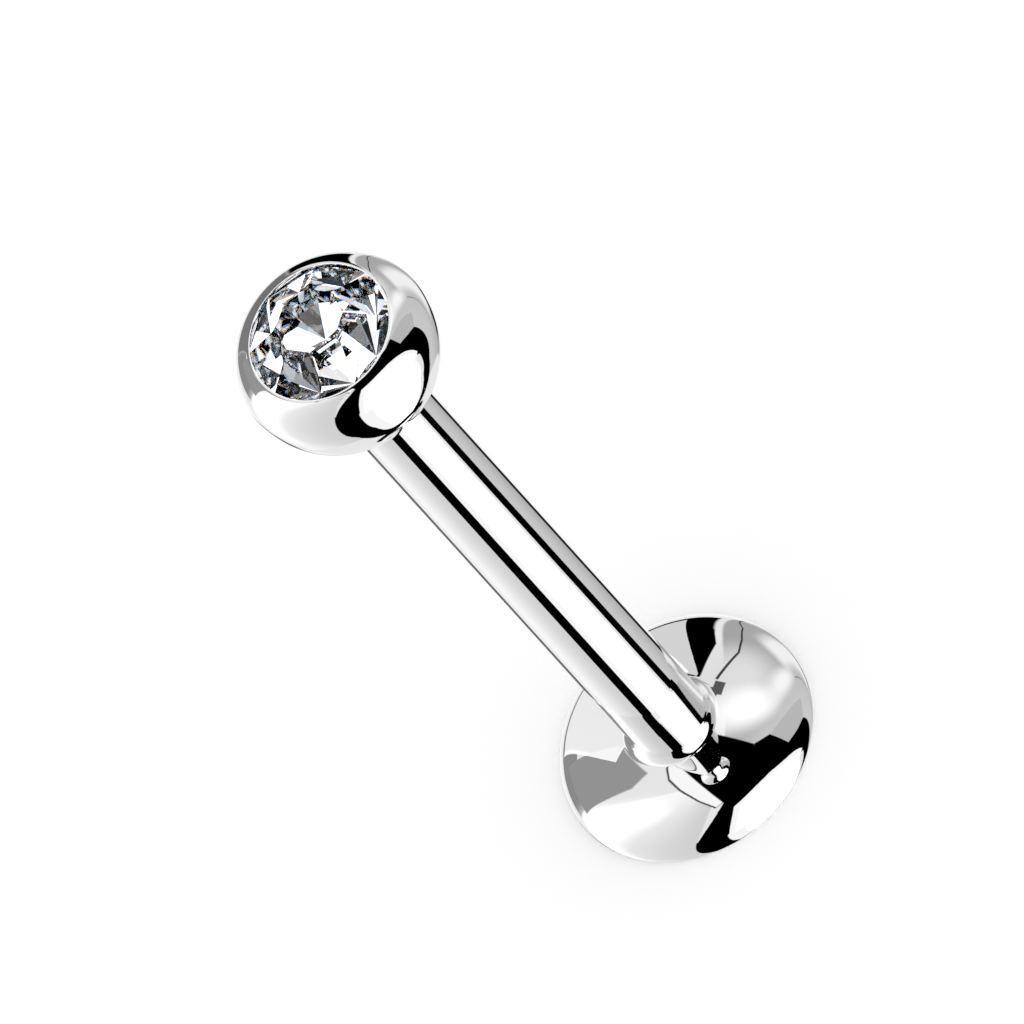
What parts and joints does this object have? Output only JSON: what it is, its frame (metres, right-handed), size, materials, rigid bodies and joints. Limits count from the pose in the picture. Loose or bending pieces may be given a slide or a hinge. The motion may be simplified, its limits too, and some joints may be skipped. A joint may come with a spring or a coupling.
{
  "type": "labret stud",
  "caption": "Straight labret stud for a piercing: a round polished post on a low domed disc, closed by a ball that holds a round cut stone.",
  "frame": {"origin": "middle of the disc's flat back, on which the stud stands", "axes": "+Z along the post from the disc to the ball; +X lies 12.5 degrees from a corner of the stone's table"},
  "size_m": [0.0038, 0.0038, 0.0142],
  "materials": {
    "steel": "mirror-polished surgical steel",
    "stone": "clear cut stone with polished facets"
  },
  "bodies": {
    "post": {"labret_post": "steel"},
    "ball": {"gem_ball": "steel", "stone": "stone"}
  },
  "joints": [
    {"name": "ball_unscrew", "type": "slide", "parent": "post", "child": "ball", "axis": [0, 0, 1], "range_m": [0, 0.014]}
  ]
}
